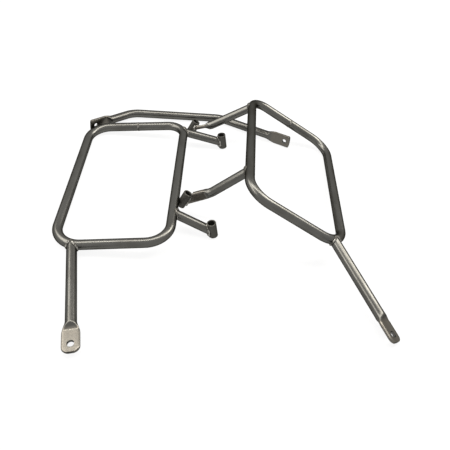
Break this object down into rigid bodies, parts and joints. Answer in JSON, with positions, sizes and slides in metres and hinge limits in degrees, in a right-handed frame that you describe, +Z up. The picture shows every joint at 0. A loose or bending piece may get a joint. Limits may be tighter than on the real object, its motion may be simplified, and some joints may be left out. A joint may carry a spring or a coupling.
{
  "type": "motorcycle pannier frame kit",
  "caption": "Welded steel tube pannier frame: two closed hoops with sleeve-ended mounting arms and flattened struts, and a bent cross brace with flattened, drilled ends.",
  "frame": {"origin": "middle of the floor area that the laid-out kit covers, on the floor", "axes": "+Z up from the floor that the pieces lie on, +Y towards the rear of the frames, +X from the left side frame to the right one"},
  "size_m": [0.594, 0.6503, 0.1263],
  "materials": {
    "tube": "bare drawn steel tube, satin, with a warm grey film",
    "sleeve": "bare steel, darker from the heat of the weld",
    "weld": "bare weld bead, rippled and bright"
  },
  "bodies": {
    "root": {"left_hoop": "tube", "left_hoop_seam": "weld", "left_strut": "tube", "left_strut_weld": "weld", "left_front_arm": "tube", "left_front_arm_weld": "weld", "left_front_sleeve": "sleeve", "left_front_sleeve_weld": "weld", "left_rear_arm": "tube", "left_rear_arm_weld": "weld", "left_rear_sleeve": "sleeve", "left_rear_sleeve_weld": "weld", "right_hoop": "tube", "right_hoop_seam": "weld", "right_strut": "tube", "right_strut_weld": "weld", "right_front_arm": "tube", "right_front_arm_weld": "weld", "right_front_sleeve": "sleeve", "right_front_sleeve_weld": "weld", "right_rear_arm": "tube", "right_rear_arm_weld": "weld", "right_rear_sleeve": "sleeve", "right_rear_sleeve_weld": "weld", "rear_brace": "tube"}
  },
  "joints": []
}
